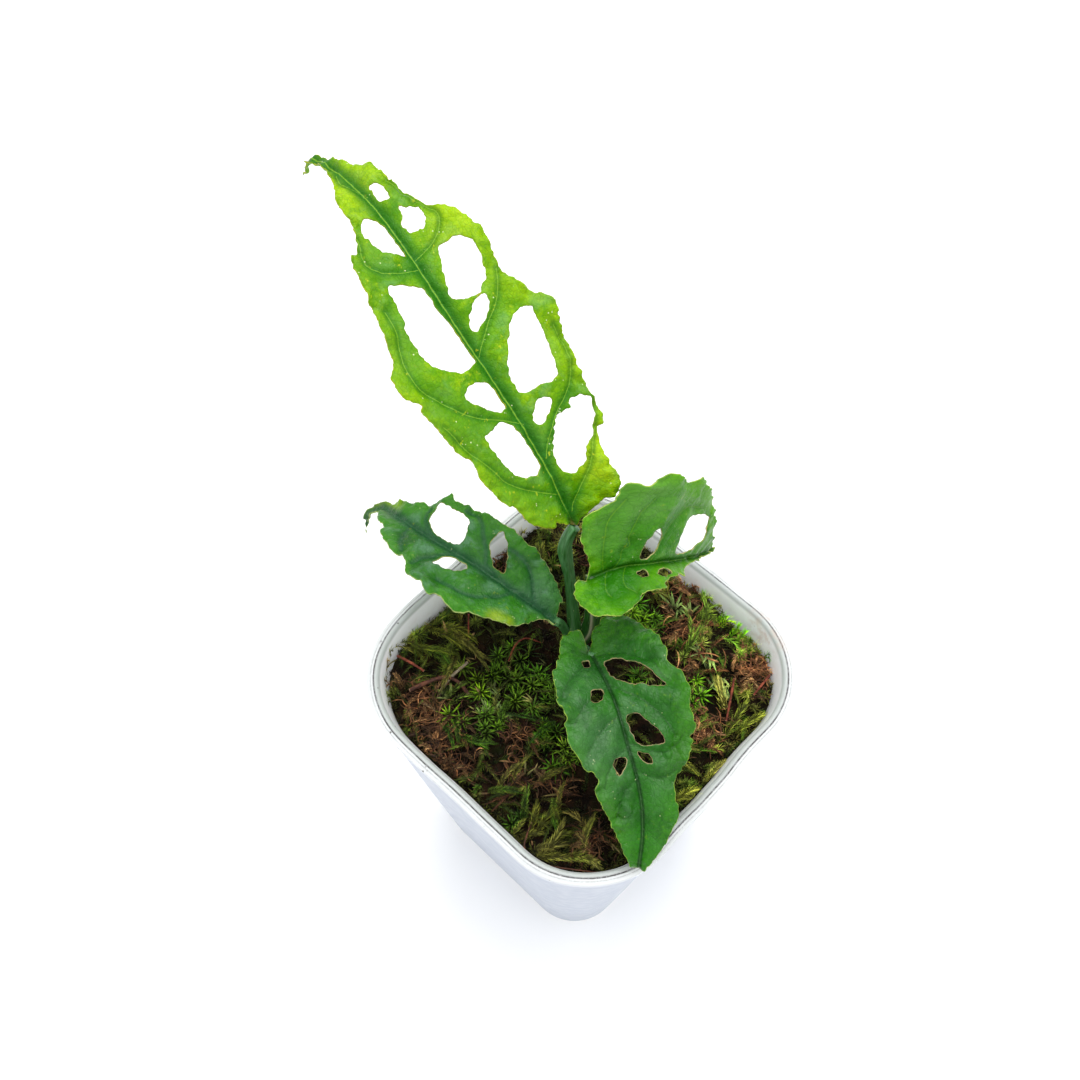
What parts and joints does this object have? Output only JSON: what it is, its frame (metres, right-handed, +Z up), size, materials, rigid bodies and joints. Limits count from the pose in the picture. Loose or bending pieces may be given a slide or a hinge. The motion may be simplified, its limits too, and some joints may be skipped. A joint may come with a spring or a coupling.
{
  "type": "potted monstera obliqua",
  "caption": "Young potted monstera obliqua: pierced, wavy-edged leaves on slim petioles over lumpy moss in a thin square plastic pot with a folded lip, which stands on its flat base.",
  "frame": {"origin": "middle of the pot's flat underside", "axes": "+Z up; the pot's flat walls face along X and Y; the large back leaf reaches towards -X, and the front leaf points to the corner between +X and -Y"},
  "size_m": [0.1792, 0.1021, 0.204],
  "materials": {
    "pot_plastic": "thin translucent white plastic, slightly soiled at the lip",
    "medium": "moist dark bark and peat",
    "living_moss": "fine leafy moss, bright to olive green",
    "dry_moss": "dry matted moss and fibres",
    "twig": "weathered thin twigs and roots",
    "stem_green": "smooth satin plant stem",
    "leaf_grown": "satin deep green blade with finely pebbled surface",
    "leaf_young": "satin yellow-green translucent blade"
  },
  "bodies": {
    "root": {"pot": "pot_plastic", "growing_medium": "medium", "moss": "living_moss", "dry_moss_left": "dry_moss", "dry_moss_front": "dry_moss", "dry_moss_right": "dry_moss", "stem": "stem_green", "petiole_back": "stem_green", "petiole_left": "stem_green", "petiole_right": "stem_green", "petiole_front": "stem_green", "leaf_back": "leaf_young", "leaf_left": "leaf_grown", "leaf_right": "leaf_grown", "leaf_front": "leaf_grown", "stick_left": "twig", "root_left": "twig", "stick_pale": "twig", "stick_small": "twig", "twig_centre": "twig", "twig_front": "twig", "stick_right": "twig", "stick_right_back": "twig"}
  },
  "joints": []
}
